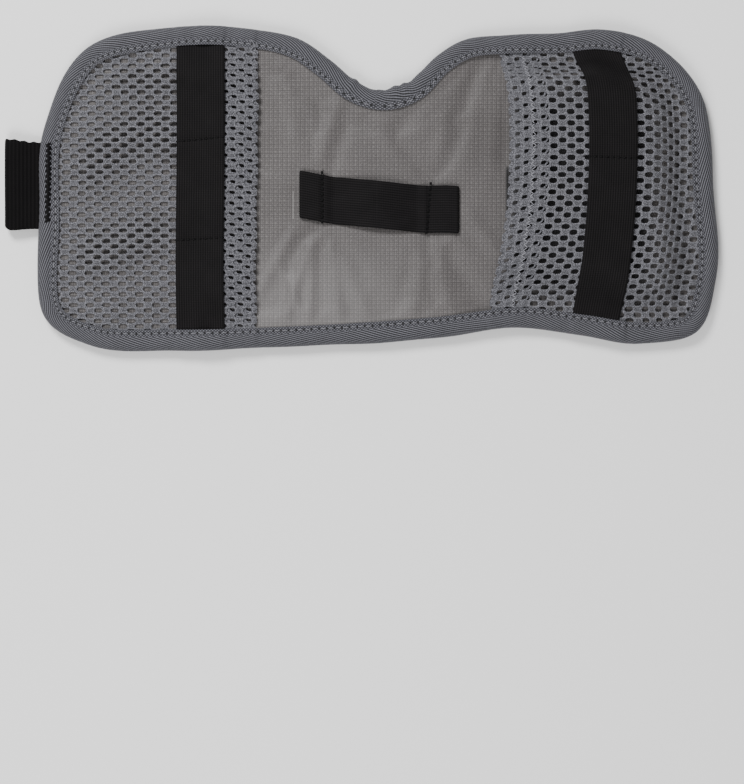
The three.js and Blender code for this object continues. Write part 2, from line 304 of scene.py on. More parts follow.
def left_net_height(x, y):
    """The middle of the left pocket's mesh, which lies on the lining and on its own hem."""
    folds = sum(crease(x, y, *c) for c in LEFT_POCKET_CREASES)
    lift = LEFT_MOUTH_LIFT * bell((x - LEFT_MOUTH_X) / 20)
    over_hem = smooth((x + 82) / 8)
    clear = NET_CLEAR + 2 * HEM_FOLD * over_hem
    return lining_height(x, y) + clear + (0.2 * over_hem + lift + folds) * smooth((inset(x, y) - 12) / 16)


def right_net_height(x, y):
    """The middle of the right pocket's mesh. It rises from the binding to a broad flat bulge, and
    more steeply near its outer edge and in its upper part by the mouth."""
    d = inset(x, y)
    run = 25 - 8 * smooth((x - 92) / 30) - 13 * smooth((y - 10) / 40) * smooth((118 - x) / 20)
    bulge = RIGHT_BULGE * smooth((d - 13) / run) + 0.5 * np.sin(y / 13 + 0.4) * smooth((d - 20) / 20)
    return LINING_TOP + 2 * HEM_FOLD + NET_HALF + 0.3 + bulge


def slope_normal(height, x, y, step=0.4):
    """The upward normal of a surface z = height(x, y)."""
    dx = (height(x + step, y) - height(x - step, y)) / (2 * step)
    dy = (height(x, y + step) - height(x, y - step)) / (2 * step)
    return unit(np.stack([-dx, -dy, np.ones_like(dx)], -1))


# ---- mesh building

SHARP = math.radians(62)


def linked(name, data, location=(0, 0, 0)):
    """A new object in the scene."""
    obj = bpy.data.objects.new(name, data)
    obj.location = location
    bpy.context.collection.objects.link(obj)
    return obj


def make(name, points, faces, uv, material):
    """A smooth mesh object from points in millimetres, with one texture place to each point."""
    mesh = bpy.data.meshes.new(name)
    mesh.from_pydata((np.asarray(points).reshape(-1, 3) * MM).tolist(), [], faces)
    layer = mesh.uv_layers.new(name="cloth")
    corner = np.empty(len(mesh.loops), np.int32)
    mesh.loops.foreach_get("vertex_index", corner)
    layer.data.foreach_set("uv", np.asarray(uv, np.float32).reshape(-1, 2)[corner].ravel())
    mesh.polygons.foreach_set("use_smooth", np.ones(len(mesh.polygons), bool))
    mesh.materials.append(material)
    mesh.set_sharp_from_angle(angle=SHARP)
    mesh.update()
    obj = linked(name, mesh)
    return obj


def quads(a, b, c, d):
    return np.stack([np.ravel(v) for v in (a, b, c, d)], -1)


def tube(index):
    """The faces between rings of points: index has their numbers, with a ring on its last axis."""
    turned = np.roll(index, -1, axis=-1)
    return quads(index[..., :-1, :], index[..., 1:, :], turned[..., 1:, :], turned[..., :-1, :])


def skin(name, points, uv, material, flip=False):
    """A closed strip from rows of points round its section: the first half of each row is its upper
    face, and the second half its lower one, back the other way."""
    count, size = points.shape[:2]
    index = np.arange(count * size).reshape(count, size)
    upper = np.arange(size // 2 - 1)
    lower = size - 1 - upper
    first = quads(index[0, upper], index[0, upper + 1], index[0, lower - 1], index[0, lower])
    last = quads(index[-1, upper], index[-1, lower], index[-1, lower - 1], index[-1, upper + 1])
    faces = np.vstack([tube(index), first, last])
    if flip:
        faces = faces[:, ::-1]
    return make(name, points, faces.tolist(), uv, material)


STRAP_HALF_THICKNESS = 0.5
BAND_RIBS = (0.055, RIB_PITCH, 150)  # their height and pitch, and the points across them


def strap(name, place, half, ribs, stations, material, flip=True):
    """A strap of so much half width, with rounded edges and ribs on its upper face.
    place(across, station) gives the middle of its thickness and the normal there."""
    rib, pitch, steps = ribs
    u = np.linspace(-1, 1, steps)
    body = STRAP_HALF_THICKNESS * np.sqrt(np.clip(1 - np.abs(u) ** 24, 0, 1)) + 0.02
    across = np.concatenate([u * half, u[::-1] * half])
    lift = np.concatenate([body + rib * np.cos(TAU * (u * half) / pitch), -body[::-1]])
    uv = np.stack(np.broadcast_arrays(across, stations[:, None]), -1)
    middle, normal = place(uv[..., 0], uv[..., 1])
    return skin(name, middle + normal * lift[:, None], uv, material, flip)


def open_edges(starts, ends, scale):
    """Of the faces' edges, which have a start and an end each, those that no other face shares."""
    rim = ~np.isin(starts * scale + ends, ends * scale + starts)
    return starts[rim], ends[rim]


def closed_faces(upper, count):
    """Upper faces, the same ones count points lower and turned over, and the walls between them."""
    lower = upper[:, ::-1] + count
    a, b = open_edges(np.ravel(upper.T), np.ravel(np.roll(upper, -1, axis=1).T), 4 * count)
    faces = np.vstack([upper, lower, quads(a, a + count, b + count, b)])
    used, back = np.unique(faces, return_inverse=True)
    return back.reshape(faces.shape).tolist(), used


def grid_slab(xs, ys, margin):
    """The cells of a grid that lie further inside the edge than margin, as a closed slab: its faces,
    and each point's place on the grid, and which points are its upper ones."""
    gx, gy = np.meshgrid(xs, ys, indexing="ij")
    cells = inset((gx[:-1, :-1] + gx[1:, 1:]) / 2, (gy[:-1, :-1] + gy[1:, 1:]) / 2) > margin
    index = np.arange(gx.size).reshape(gx.shape)
    corners = [index[:-1, :-1], index[1:, :-1], index[1:, 1:], index[:-1, 1:]]
    faces, used = closed_faces(np.stack([c[cells] for c in corners], -1), gx.size)
    return faces, gx.ravel()[used % gx.size], gy.ravel()[used % gx.size], used < gx.size


def slab(name, x_range, step, margin, height, under, material):
    """A slab of cloth or foam: height(x, y) is its upper face, and under(x, y) its lower one."""
    ranges = (x_range, (-REACH_Y, REACH_Y))
    xs, ys = (np.linspace(low, high, int(round((high - low) / step)) + 1) for low, high in ranges)
    faces, x, y, upper = grid_slab(xs, ys, margin)
    points = np.stack([x, y, np.where(upper, height(x, y), under(x, y))], -1)
    return make(name, points, faces, np.stack([x, y], -1), material)


STITCH_SIDES = STITCH_STEPS = 6
THICK_THREAD = 0.3  # radius of the black thread


def threads(name, starts, ends, radius, material):
    """Short stitches: each is a bead of thread that rises from its start and dives at its end."""
    up = np.array([0.0, 0.0, 1.0])
    way = unit(ends - starts)
    side = unit(np.cross(way, up))
    over = np.cross(side, way)
    t = np.linspace(0, 1, STITCH_STEPS)
    turn = np.linspace(0, TAU, STITCH_SIDES, endpoint=False)
    arc = np.sin(np.pi * t)
    middle = starts[:, None] + (ends - starts)[:, None] * t[:, None]
    middle = middle + up * ((1.5 * arc - 0.6) * radius)[:, None]
    girth = radius * (0.35 + 0.65 * np.sqrt(arc))
    ring = side[:, None, None] * np.cos(turn)[:, None] + over[:, None, None] * np.sin(turn)[:, None]
    points = middle[:, :, None] + ring * girth[:, None, None]
    index = np.arange(points.size // 3).reshape(points.shape[:3])
    faces = tube(index).tolist() + index[:, 0].tolist() + index[:, -1, ::-1].tolist()
    uv = np.broadcast_to(np.stack(np.meshgrid(t, turn, indexing="ij"), -1), (*points.shape[:3], 2))
    return make(name, points, faces, uv, material)


def row_of_stitches(line, pitch, length):
    """Starts and ends of stitches along a line of points in space."""
    distance = along(line)
    begin = np.arange(pitch / 2, distance[-1] - length, pitch)
    return [np.stack(on_line(line, distance, s), -1) for s in (begin, begin + length)]


def on_body(piece, body, *nodes):
    """Makes a piece move with a body, in place of these nodes."""
    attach(piece, body)
    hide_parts(*nodes)


def over_fold(piece, side, *nodes):
    """Bakes in where a piece lies that runs from the middle of the spine to one leaf, in place of these
    nodes."""
    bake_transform(piece)
    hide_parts(*nodes)


# ---- the lining's wrinkles

CUSHION_ORIGIN = (-165, -81)
CUSHION_STEP = 3.0
CUSHION_MARGIN = 8
CUSHION_FRAMES = 20
CUSHION_FOOT = 2.0  # height of its lower face
RIM_HELD = 11  # the binding holds it this far in from the edge
LOOP_HELD_X, LOOP_HELD_Y = (23.2, 26.8), (-20, 6)  # where the holding loop is sewn down
CUSHION_CLOTH = {
    "quality": 8, "mass": 0.15, "tension_stiffness": 15, "compression_stiffness": 15,
    "shear_stiffness": 5, "bending_stiffness": 0.5, "use_pressure": True, "uniform_pressure_force": 4.0,
    "shrink_min": -0.004,  # the lining is cut this much larger than the place it fills
}
WRINKLE_WIDTH = 11
LARGEST_WRINKLE = 1.3


def held_points(x, y, upper):
    by_loop = (abs(x) > LOOP_HELD_X[0]) & (abs(x) < LOOP_HELD_X[1])
    by_loop &= (y > LOOP_HELD_Y[0]) & (y < LOOP_HELD_Y[1])
    return ~upper | (inset(x, y) < RIM_HELD) | by_loop


def inflate(cushion, held):
    """Runs the cloth simulation, and gives where its points end, in millimetres."""
    group = cushion.vertex_groups.new(name="held")
    group.add(np.nonzero(held)[0].tolist(), 1.0, "REPLACE")
    cloth = cushion.modifiers.new("Cloth", "CLOTH")
    cloth.point_cache.frame_start, cloth.point_cache.frame_end = 1, CUSHION_FRAMES
    cloth.collision_settings.use_collision = False
    cloth.settings.vertex_group_mass = "held"
    cloth.settings.effector_weights.gravity = 0
    set_all(cloth.settings, CUSHION_CLOTH)
    for number in range(1, CUSHION_FRAMES + 1):
        bpy.context.scene.frame_set(number)
    shape = cushion.evaluated_get(bpy.context.evaluated_depsgraph_get()).to_mesh()
    ends = np.empty(len(shape.vertices) * 3)
    shape.vertices.foreach_get("co", ends)
    bpy.context.scene.frame_set(1)
    return ends.reshape(-1, 3) / MM


def blurred(field, width):
    """A field's mean over a soft window so many of its steps wide."""
    reach = int(3 * width)
    window = bell(np.arange(-reach, reach + 1) / width)
    window /= window.sum()
    for axis in (0, 1):
        field = np.apply_along_axis(np.convolve, axis, np.pad(field, reach, "edge"), window, "same")
        field = field[reach:-reach, reach:-reach]
    return field


def wrinkle_field():
    """How much higher the lining's wrinkles stand than its sewn shape, on the same grid as the
    distance field: the fine part of what a cloth simulation of the padded panel does."""
    xs, ys = (np.arange(low, CUSHION_STEP - low, CUSHION_STEP) for low in CUSHION_ORIGIN)
    faces, x, y, upper = grid_slab(xs, ys, CUSHION_MARGIN)
    z = np.where(upper, sewn_height(x, y), CUSHION_FOOT)
    mesh = bpy.data.meshes.new("cushion")
    mesh.from_pydata((np.stack([x, y, z], -1) * MM).tolist(), [], faces)
    cushion = linked("cushion", mesh)
    rise = inflate(cushion, held_points(x, y, upper))[:, 2] - z
    bpy.data.objects.remove(cushion)
    bpy.data.meshes.remove(mesh)
    coarse = np.zeros(EDGE_FIELD.shape)
    column, row = (
        np.round((at[upper] - low) / CUSHION_STEP).astype(int) for at, low in zip((x, y), CUSHION_ORIGIN)
    )
    coarse[column, row] = rise[upper]
    places = (
        first[0] + (at - low) / CUSHION_STEP
        for first, at, low in zip((FIELD_X, FIELD_Y), FIELD_AT, CUSHION_ORIGIN)
    )
    rise = blurred(sample(coarse, *places), 1.2)
    fine = rise - blurred(rise, WRINKLE_WIDTH)
    return LARGEST_WRINKLE * np.tanh(fine / LARGEST_WRINKLE) * smooth((EDGE_FIELD - 9) / 5)


WRINKLES = wrinkle_field()


# ---- materials

def linear(colour):
    """A colour as seen, 0 to 255, as the shader wants it."""
    return tuple(((c / 255 + 0.055) / 1.055) ** 2.4 if c > 10 else c / 255 / 12.92 for c in colour) + (1,)


def feed(node, sockets):
    """Gives a node's sockets a value or a link each."""
    for socket, value in sockets.items():
        if isinstance(value, bpy.types.NodeSocket):
            node.id_data.links.new(value, node.inputs[socket])
        else:
            node.inputs[socket].default_value = value


def new_material(name):
    """A material, and its shader node."""
    material = bpy.data.materials.new(name)
    material.use_nodes = True
    return material, material.node_tree.nodes["Principled BSDF"]


class Cloth:
    """A cloth's shader nodes: patterns in millimetres of its own weave, mixed into its colour and its
    bump. Every colour is given as seen, 0 to 255."""

    def __init__(self, name, roughness, sheen=0.0, specular=0.3):
        self.material, self.shader = new_material(name)
        feed(self.shader, {
            "Roughness": roughness, "Sheen Weight": sheen, "Sheen Roughness": 0.5,
            "Specular IOR Level": specular,
        })
        self.place = self.node("UVMap", {}, uv_map="cloth").outputs["UV"]
        split = self.node("SeparateXYZ", {0: self.place})
        self.u, self.v = split.outputs["X"], split.outputs["Y"]

    def node(self, kind, sockets, **settings):
        node = self.material.node_tree.nodes.new("ShaderNode" + kind)
        set_all(node, settings)
        feed(node, sockets)
        return node

    def maths(self, operation, a, b=0.0, c=0.5):
        return self.node("Math", {0: a, 1: b, 2: c}, operation=operation).outputs[0]

    def times(self, a, b):
        return self.maths("MULTIPLY", a, b)

    def plus(self, a, b):
        return self.maths("ADD", a, b)

    def blend_of(self, a, share_a, b, share_b):
        return self.plus(self.times(a, share_a), self.times(b, share_b))

    def wave(self, across_u, across_v, shift=0.0):
        """A sine from 0 to 1 with so many radians to a millimetre each way."""
        phase = self.plus(self.blend_of(self.u, across_u, self.v, across_v), shift)
        return self.plus(self.times(self.maths("SINE", phase), 0.5), 0.5)

    def crossed(self, pitch_u, pitch_v):
        """A wave each way, multiplied."""
        return self.times(self.wave(TAU / pitch_u, 0), self.wave(0, TAU / pitch_v))

    def noise(self, size, detail=3.0):
        """Noise from 0 to 1 with blobs about size millimetres wide."""
        sockets = {"Scale": 1 / size, "Detail": detail, "Vector": self.place}
        return self.node("TexNoise", sockets).outputs["Fac"]

    def cells(self, size):
        """Distance from the nearest of scattered points, about size millimetres apart."""
        return self.node("TexVoronoi", {"Scale": 1 / size, "Vector": self.place}).outputs["Distance"]

    def between(self, value, start, end):
        """0 up to start, 1 from end on, and smooth in between; end may be the smaller one."""
        low, high = sorted((start, end))
        sockets = {
            "Value": value, "From Min": low, "From Max": high,
            "To Min": float(start == high), "To Max": float(start == low),
        }
        return self.node("MapRange", sockets, interpolation_type="SMOOTHSTEP").outputs[0]

    def within(self, share, edges):
        """The share inside a place with these soft edges, and 0 outside it."""
        for axis, outside, inside in edges:
            share = self.times(self.between(getattr(self, axis), outside, inside), share)
        return share

    def ramp(self, value, *stops):
        """A colour for a value; each stop is (value, red, green, blue)."""
        node = self.node("ValToRGB", {0: value})
        elements = node.color_ramp.elements
        while len(elements) < len(stops):
            elements.new(0.5)
        for element, (at, *colour) in zip(elements, stops):
            set_all(element, {"position": at, "color": linear(colour)})
        return node.outputs[0]

    def mix(self, share, under, over, blend="MIX"):
        """Two colours mixed; each is a socket or (red, green, blue)."""
        under, over = (linear(c) if isinstance(c, tuple) else c for c in (under, over))
        sockets = {0: share, 6: under, 7: over}
        return self.node("Mix", sockets, data_type="RGBA", blend_type=blend).outputs[2]

    def lay(self, share, over, blend="MIX"):
        """Mixes a colour into the cloth's colour."""
        self.colour = self.mix(share, self.colour, over, blend)

    def shade(self, share, pattern, dark, light):
        """Makes the cloth's colour darker and lighter with a pattern."""
        self.lay(share, self.ramp(pattern, (0.3, *dark), (0.7, *light)), "SOFT_LIGHT")

    def finish(self, height, depth):
        """Sets the colour, and a bump from a height, depth millimetres deep."""
        bump = self.node("Bump", {"Strength": 1.0, "Distance": depth * MM, "Height": height})
        feed(self.shader, {"Base Color": self.colour, "Normal": bump.outputs["Normal"]})
        return self.material


TWILL_PITCH = 0.98
TWILL_LEAN = math.radians(-18)
TWILL_S = -TAU * math.sin(TWILL_LEAN) / TWILL_PITCH
TWILL_A = TAU * math.cos(TWILL_LEAN) / TWILL_PITCH
SEAM_PITCH = 3.6  # between the needle's holes
SEAM_A = 1.75  # how far the needle's holes are from the tape's inner edge
SELVEDGE_A = 3.3
KNIT_A, KNIT_S = 1.3, 1.45  # the size of the selvedge's knit


def tape_material():
    """Twill tape: slanted ridges of small stitches with painted light on their crests and painted shade
    between them, then a knitted selvedge with painted shade in the needle's holes.
    """
    cloth = Cloth("binding_tape", 0.8, 0.1)
    ridge = cloth.wave(TWILL_A, TWILL_S, math.pi / 2)
    picks = cloth.wave(-TWILL_S * 0.9, TWILL_A * 0.9)
    fibre = cloth.noise(0.45, 2)
    # painted light on each ridge's crest and painted shade in the valleys between the ridges
    cloth.colour = cloth.ramp(ridge, (0.16, 6, 6, 8), (0.5, 50, 50, 55), (0.86, 131, 131, 137))
    faded = cloth.ramp(ridge, (0.1, 60, 60, 64), (0.9, 90, 90, 95))
    cloth.lay(cloth.times(cloth.noise(9, 2), 0.35), faded)
    cloth.lay(0.15, cloth.ramp(picks, (0.15, 60, 60, 64), (0.9, 104, 104, 109)))
    knit = cloth.times(cloth.wave(TAU / KNIT_A, TAU / KNIT_S), cloth.wave(-TAU / KNIT_A, TAU / KNIT_S))
    edge = cloth.ramp(knit, (0.05, 52, 52, 56), (0.3, 88, 88, 93), (0.8, 130, 130, 136))
    cloth.lay(cloth.maths("LESS_THAN", cloth.u, SELVEDGE_A), edge)
    # painted shade in the needle's holes
    needle = cloth.maths("POWER", cloth.wave(0, TAU / SEAM_PITCH, math.pi / 2), 4.5)
    cloth.lay(cloth.times(needle, cloth.maths("COMPARE", cloth.u, SEAM_A, 0.6)), (16, 16, 18))
    cloth.shade(0.6, fibre, (70, 70, 73), (176, 176, 180))
    cloth.shade(0.3, cloth.noise(8), (104, 104, 106), (152, 152, 155))
    return cloth.finish(cloth.blend_of(picks, 0.4, fibre, 0.6), 0.12)


def net_material(leaf):
    """Knitted yarn with small light loops in it, a painted highlight round each hole and darker joints
    between them.
    """
    cloth = Cloth(f"{leaf}_pocket_mesh", 0.85, 0.1)
    column, row = (math.pi / pitch for pitch in LATTICE[leaf][:2])
    by_hole = cloth.plus(cloth.wave(column, row, math.pi / 2), cloth.wave(column, -row, math.pi / 2))
    loops = cloth.cells(0.55)
    fibre = cloth.noise(0.42, 2)
    cloth.colour = cloth.ramp(loops, (0.1, 122, 122, 128), (0.5, 80, 80, 84), (0.9, 36, 36, 39))
    cloth.lay(0.54, cloth.ramp(fibre, (0.36, 40, 40, 43), (0.5, 86, 86, 90), (0.66, 164, 164, 172)))
    # painted highlight round each hole; the darker joints between the holes are the knit's own
    rim_highlight_and_joints = cloth.ramp(cloth.times(by_hole, 0.5), (0.05, 84, 84, 86), (0.46, 226, 226, 228))
    cloth.lay(0.38, rim_highlight_and_joints, "SOFT_LIGHT")
    cloth.shade(0.3, cloth.noise(14), (112, 112, 114), (146, 146, 148))
    return cloth.finish(cloth.plus(cloth.maths("SUBTRACT", 1.0, loops), cloth.times(fibre, 0.8)), 0.2)


RIPSTOP_PITCH = 2.1
WEAVE_PITCH = RIPSTOP_PITCH / 2
# Painted shade makes the lining nearly black deep in the right pocket, under its mesh, and in a sliver along
# its mouth.
# Painted light makes it pale between the left pocket's mouth and the spine, towards the foot. Each edge:
# axis, outside it, inside it.
PAINTED_SHADE_POCKET = ("u", 60, 66), ("u", 136, 120), ("v", -60, -38), ("v", 56, 34)
PAINTED_SHADE_SLIVER = ("u", 60.7, 61.1), ("u", 68, 66), ("v", -13, -10), ("v", 12, 9)
PAINTED_LIGHT_PLACE = ("v", -16, -50), ("u", 42, -24), ("u", -63, -55)
LOOP_MARK = (-39.5, 0.22), (-7.8, 6.4)  # middle and half size, each way


def lining_material():
    """Thin ripstop nylon, a little shiny, with painted shade that makes it nearly black deep in the right
    pocket.
    """
    cloth = Cloth("lining_cloth", 0.5, 0.1)
    up, across = cloth.wave(TAU / RIPSTOP_PITCH, 0), cloth.wave(0, TAU / RIPSTOP_PITCH)
    lines = cloth.maths("POWER", cloth.maths("MAXIMUM", up, cloth.times(across, 0.8)), 4.0)
    meetings = cloth.maths("POWER", cloth.times(up, across), 2.0)
    weave = cloth.crossed(WEAVE_PITCH, WEAVE_PITCH)
    fibre = cloth.noise(0.8, 3)
    cloth.colour = cloth.ramp(weave, (0.0, 86, 83, 83), (1.0, 119, 115, 115))
    grid = cloth.times(cloth.blend_of(lines, 0.28, meetings, 0.95), cloth.noise(1.6, 2))
    cloth.lay(cloth.times(grid, 0.56), (150, 147, 146))
    cloth.shade(0.5, fibre, (78, 77, 76), (178, 177, 176))
    cloth.shade(0.35, cloth.noise(26, 2), (100, 99, 98), (158, 157, 156))
    # painted light: the lining made paler between the left pocket's mouth and the spine, towards the foot
    cloth.lay(cloth.within(0.75, PAINTED_LIGHT_PLACE), (70, 69, 69), "SCREEN")
    cloth.lay(loop_mark(cloth), (168, 165, 163))
    # painted shade: the lining nearly black deep in the right pocket, and in a sliver along its mouth
    dark = (cloth.within(1.0, place) for place in (PAINTED_SHADE_POCKET, PAINTED_SHADE_SLIVER))
    cloth.lay(cloth.maths("MAXIMUM", *dark), (26, 25, 26))
    return cloth.finish(cloth.plus(cloth.blend_of(grid, 0.25, weave, 0.5), fibre), 0.1)


def loop_mark(cloth):
    """A thin pale line pressed into the lining beside the holding loop."""
    mark = 0.3
    for value, (middle, half) in zip((cloth.u, cloth.v), LOOP_MARK):
        mark = cloth.times(cloth.maths("COMPARE", value, middle, half), mark)
    return mark


def shell_material():
    """The outer cloth: a coarse coated weave."""
    cloth = Cloth("shell_cloth", 0.65, 0.1)
    weave = cloth.crossed(0.9, 0.75)
    cloth.colour = cloth.ramp(weave, (0.0, 56, 56, 59), (1.0, 98, 98, 102))
    cloth.shade(0.5, cloth.noise(0.5, 3), (80, 80, 82), (165, 165, 168))
    cloth.shade(0.3, cloth.noise(30, 2), (100, 100, 102), (152, 152, 154))
    return cloth.finish(weave, 0.16)


PICK = TAU / 0.84  # of the yarns that cross the ribs of elastic and webbing


def elastic_material(name, rib_u, rib_v, dark, light):
    """Black woven elastic or webbing, whose ribs run along u or v, with painted highlights on their crests.
    """
    cloth = Cloth(name, 0.75, specular=0.08)
    rib = cloth.wave(rib_u, rib_v, math.pi / 2)
    pick = cloth.wave(PICK * (rib_v > 0), PICK * (rib_u > 0))
    fibre = cloth.noise(0.4, 3)
    # painted highlight on each rib's crest and painted shade between the ribs
    cloth.colour = cloth.ramp(rib, (0.1, *dark), (0.85, *light))
    cloth.lay(0.3, cloth.ramp(pick, (0.2, *dark), (0.9, *light)))
    cloth.shade(0.5, fibre, (70, 70, 71), (178, 177, 178))
    cloth.shade(0.4, cloth.noise(11, 2), (95, 95, 96), (162, 161, 162))
    return cloth.finish(cloth.blend_of(pick, 0.5, fibre, 0.6), 0.1)


def thread_material(name, dark, light):
    """Twisted sewing thread."""
    cloth = Cloth(name, 0.6, specular=0.15)
    ply = cloth.wave(TAU * 3, 2.0)
    cloth.colour = cloth.ramp(ply, (0.2, *dark), (0.8, *light))
    cloth.lay(0.2, cloth.noise(0.3, 2), "SOFT_LIGHT")
    return cloth.finish(ply, 0.05)


def foam_material():
    cloth = Cloth("foam_sheet", 0.95)
    pores = cloth.cells(0.9)
    cloth.colour = cloth.ramp(pores, (0.1, 150, 150, 146), (0.8, 205, 205, 200))
    return cloth.finish(pores, 0.2)


TAPE = tape_material()
NET = {leaf: net_material(leaf) for leaf, _ in SIDES}
LINING = lining_material()
SHELL = shell_material()
ELASTIC = elastic_material("black_elastic", TAU / RIB_PITCH, 0, (14, 13, 14), (36, 34, 35))
WEBBING_RIB = 1.8
WEBBING = elastic_material("black_webbing", 0, TAU / WEBBING_RIB, (8, 7, 8), (20, 18, 19))
FOAM = foam_material()
BLACK_THREAD = thread_material("black_thread", (2, 2, 3), (10, 9, 10))
HEM_THREAD = thread_material("hem_thread", (104, 104, 109), (178, 178, 186))
GREY_THREAD = thread_material("grey_thread", (96, 96, 101), (150, 150, 156))


# ---- the layers under the lining

def shell_height(x, y):
    """The outer cloth is flat inside the binding and rises over its lower edge."""
    return SHELL_THICKNESS + 0.03 + 0.75 * (1 - smooth((inset(x, y) - 10.2) / 3))


PAD_GAP = 0.15
PAD_SOFT_EDGE = 3.5
PAD_STEP, PAD_MARGIN = 2, 9.5
SPINE_PAD_INSET = 3.5


def pad_piece(node, body, x_low, x_high):
    """A foam sheet with soft edges, between the outer cloth and the lining."""

    def face(side):
        """Its upper face for side 1, and its lower one for side -1."""

        def height(x, y):
            near = np.minimum(np.minimum(x - x_low, x_high - x), inset(x, y) - TAPE_WIDTH)
            low, high = shell_height(x, y) + PAD_GAP, lining_height(x, y) - LINING_THICKNESS - PAD_GAP
            share = np.sqrt(np.clip(near / PAD_SOFT_EDGE, 0.02, 1))
            return (low + high) / 2 + side * (high - low) / 2 * share

        return height

    name = node.replace("foam", "padding")
    pad = slab(name, (x_low, x_high), PAD_STEP, PAD_MARGIN, face(1), face(-1), FOAM)
    on_body(pad, body, node)


def padding():
    pad_piece("left_foam", "left_leaf", -REACH_X, -LEAF_STIFF)
    pad_piece("spine_foam", "spine", -SPINE_STIFF + SPINE_PAD_INSET, SPINE_STIFF - SPINE_PAD_INSET)
    pad_piece("right_foam", "right_leaf", LEAF_STIFF, REACH_X)


CLOTH_MARGIN = 2.5  # the cloths end inside the tape


def cloth_half(leaf, side, face, kind, step, height, thickness, material):
    """One layer of cloth from the middle of the spine out to the binding of one leaf."""
    reach = sorted((0, side * REACH_X))
    name = f"{leaf}_{face}_cloth"
    half = slab(name, reach, step, CLOTH_MARGIN, height, lambda x, y: height(x, y) - thickness, material)
    over_fold(half, side, f"{leaf}_{kind}", f"spine_{kind}")


def layers():
    for leaf, side in SIDES:
        cloth_half(leaf, side, "outer", "shell", 1.5, shell_height, SHELL_THICKNESS, SHELL)
        cloth_half(leaf, side, "inner", "lining", 1.0, lining_height, LINING_THICKNESS, LINING)


# ---- the binding

# The tape's outer face in section, from its inner edge on the lining side round to the other side:
# how far in from the edge, and how high.
TAPE_SECTION = [
    (9.6, 7.25), (8.7, 7.3), (7.9, 7.12), (6.9, 7.22), (6.3, 7.15), (5.6, 7.45), (4.2, 7.75), (2.5, 7.45),
    (0.8, 6.2), (0, 3.9), (0.7, 1.6), (2.4, 0.35), (5, 0.02), (9.6, 0.0),
]
TAPE_THICKNESS = 0.6
TAPE_STEP = 0.55  # along the tape
TAPE_FINE_STEP = 0.25  # across it
TAPE_UNDER_EVERY = 4  # the tape's plain inner face has one point for so many on its outer one
SEAM_INSET = 7.9
# Each gather where the tape goes round the notch: its middle, how far it stands out, half its width.
PUCKERS = [
    (-10.3, 0.9, 1.5), (-3, -0.35, 3), (3.6, -0.3, 1.2), (8.6, 1.1, 2.2), (12.9, 0.9, 1.5), (19, 0.4, 2.2),
]
# Where the tape stands higher, over a band's end or a hem: its middle, half its width and how much.
TAPE_LUMPS = [(LEFT_BAND_X, 13, 0.8), (103.5, 14, 0.8), (-70.5, 15.5, 0.75), (63, 11.5, 0.35)]


def section_points():
    """The section at even steps: distance round it, inset, height, and the outward direction."""
    line = curve_through(TAPE_SECTION, closed=False)
    distance = along(line)
    a = np.arange(0, distance[-1], TAPE_FINE_STEP)
    t, z = on_line(line, distance, a)
    dt, dz = np.gradient(t), np.gradient(z)
    length = np.hypot(dt, dz)
    return a, t, z, dz / length, -dt / length


SECTION = section_points()


def tape_top(t):
    """How high the tape's upper face is, so far in from the edge."""
    _, inwards, z, _, _ = SECTION
    upper = z > 3.9
    return np.interp(t, inwards[upper][::-1], z[upper][::-1])


def tape_lump(x, y):
    """How much higher the tape stands over the end of a band, or over a pocket's hem."""
    lumps = sum(high * smooth((half - abs(x - at)) / 2.5) for at, half, high in TAPE_LUMPS)
    swell = 0.14 * np.sin(x / 7.9 + y / 6.1) + 0.1 * np.sin(x / 19 - y / 15 + 1)
    return lumps + swell


def pucker(x, y):
    """The gathers where the tape goes round the notch."""
    return (y > 30) * sum(high * bell((x - at) / wide) for at, high, wide in PUCKERS)


def tape_half(name, side, s_from, s_to):
    """Half of the folded tape, with its ridges and its knitted selvedge."""
    s = np.linspace(s_from, s_to, int((s_to - s_from) / TAPE_STEP))
    at, inward = edge_point(s)
    s, x, y = s[:, None], at[:, :1], at[:, 1:]
    a, t, z, out_t, out_z = SECTION
    ridges = 0.09 * np.cos(TWILL_A * a + TWILL_S * s)
    knit = 0.1 * np.cos(TAU * s / KNIT_S) * np.cos(TAU * a / KNIT_A)
    relief = np.where(a < 3.1, knit, ridges)
    gather = pucker(x, y)
    on_top = smooth((z - 2.5) / 3)
    sway = 0.35 * np.sin(s / 17) + 0.15 * np.sin(s / 6.3 + 1)
    outward = (gather + sway) * smooth((7 - t) / 5)
    lump = tape_lump(x, y) * on_top + 0.25 * gather * on_top
    faces = []
    for lift in (relief, -TAPE_THICKNESS + 0 * relief):
        deep = t + out_t * lift - outward
        high = z + out_z * lift + lump
        xy = at[:, None] + inward[:, None] * deep[..., None]
        faces.append(np.dstack([xy, np.maximum(high, 0.0)]))
    under = np.append(np.arange(0, len(a) - 1, TAPE_UNDER_EVERY), len(a) - 1)[::-1]
    points = np.concatenate([faces[0], faces[1][:, under]], axis=1)
    around = np.broadcast_to(np.concatenate([a, a[under]]), points.shape[:2])
    uv = np.stack([around, np.broadcast_to(s, around.shape)], -1)
    return skin(name, points, uv, TAPE)


